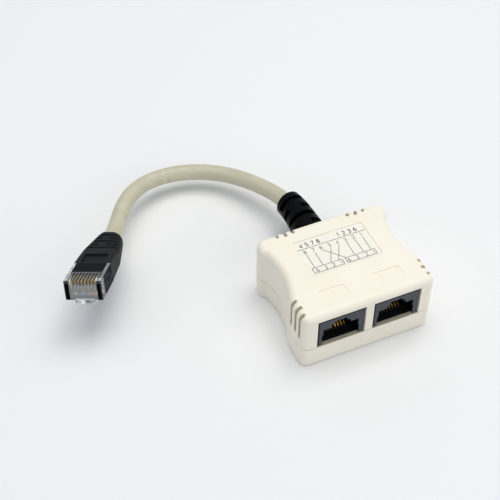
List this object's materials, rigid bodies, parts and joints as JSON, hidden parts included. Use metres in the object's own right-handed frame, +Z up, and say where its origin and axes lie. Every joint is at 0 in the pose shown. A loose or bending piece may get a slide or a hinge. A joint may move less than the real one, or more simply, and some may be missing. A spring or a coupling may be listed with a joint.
{
  "type": "rj45 splitter adapter",
  "caption": "Small waisted network splitter with modular jacks in its front, and a short curved cable with a clear plug leaving a black strain relief in its back.",
  "frame": {"origin": "on the table under the middle of the housing's outline, cable left out", "axes": "+X across the ports, to the right as seen from the port side; -Y out of the ports; +Y out of the strain relief; +Z up"},
  "size_m": [0.1042, 0.0922, 0.0255],
  "materials": {
    "housing": "fine satin",
    "label_film": "satin film",
    "board": "satin",
    "jack_plastic": "satin",
    "carrier_plastic": "satin",
    "contact_gold": "bright gold plate",
    "cable_jacket": "satin",
    "black_moulding": "satin",
    "clear_plastic": "clear gloss",
    "wire_insulation": "gloss"
  },
  "bodies": {
    "root": {"top_shell": "housing", "bottom_shell": "housing", "label": "label_film", "circuit_board": "board", "jack_shell_left": "jack_plastic", "jack_shell_right": "jack_plastic", "contact_carrier_left": "carrier_plastic", "contact_carrier_right": "carrier_plastic", "jack_left_contact_1": "contact_gold", "jack_left_contact_2": "contact_gold", "jack_left_contact_3": "contact_gold", "jack_left_contact_4": "contact_gold", "jack_left_contact_5": "contact_gold", "jack_left_contact_6": "contact_gold", "jack_left_contact_7": "contact_gold", "jack_left_contact_8": "contact_gold", "jack_right_contact_1": "contact_gold", "jack_right_contact_2": "contact_gold", "jack_right_contact_3": "contact_gold", "jack_right_contact_4": "contact_gold", "jack_right_contact_5": "contact_gold", "jack_right_contact_6": "contact_gold", "jack_right_contact_7": "contact_gold", "jack_right_contact_8": "contact_gold", "cable": "cable_jacket", "strain_relief": "black_moulding", "board_wire_1": "wire_insulation", "board_wire_2": "wire_insulation", "board_wire_3": "wire_insulation", "board_wire_4": "wire_insulation", "board_wire_5": "wire_insulation", "board_wire_6": "wire_insulation", "board_wire_7": "wire_insulation", "board_wire_8": "wire_insulation", "plug_body": "clear_plastic", "plug_boot": "black_moulding", "plug_contact_1": "contact_gold", "plug_contact_2": "contact_gold", "plug_contact_3": "contact_gold", "plug_contact_4": "contact_gold", "plug_contact_5": "contact_gold", "plug_contact_6": "contact_gold", "plug_contact_7": "contact_gold", "plug_contact_8": "contact_gold", "plug_wire_1": "wire_insulation", "plug_wire_2": "wire_insulation", "plug_wire_3": "wire_insulation", "plug_wire_4": "wire_insulation", "plug_wire_5": "wire_insulation", "plug_wire_6": "wire_insulation", "plug_wire_7": "wire_insulation", "plug_wire_8": "wire_insulation"}
  },
  "joints": []
}
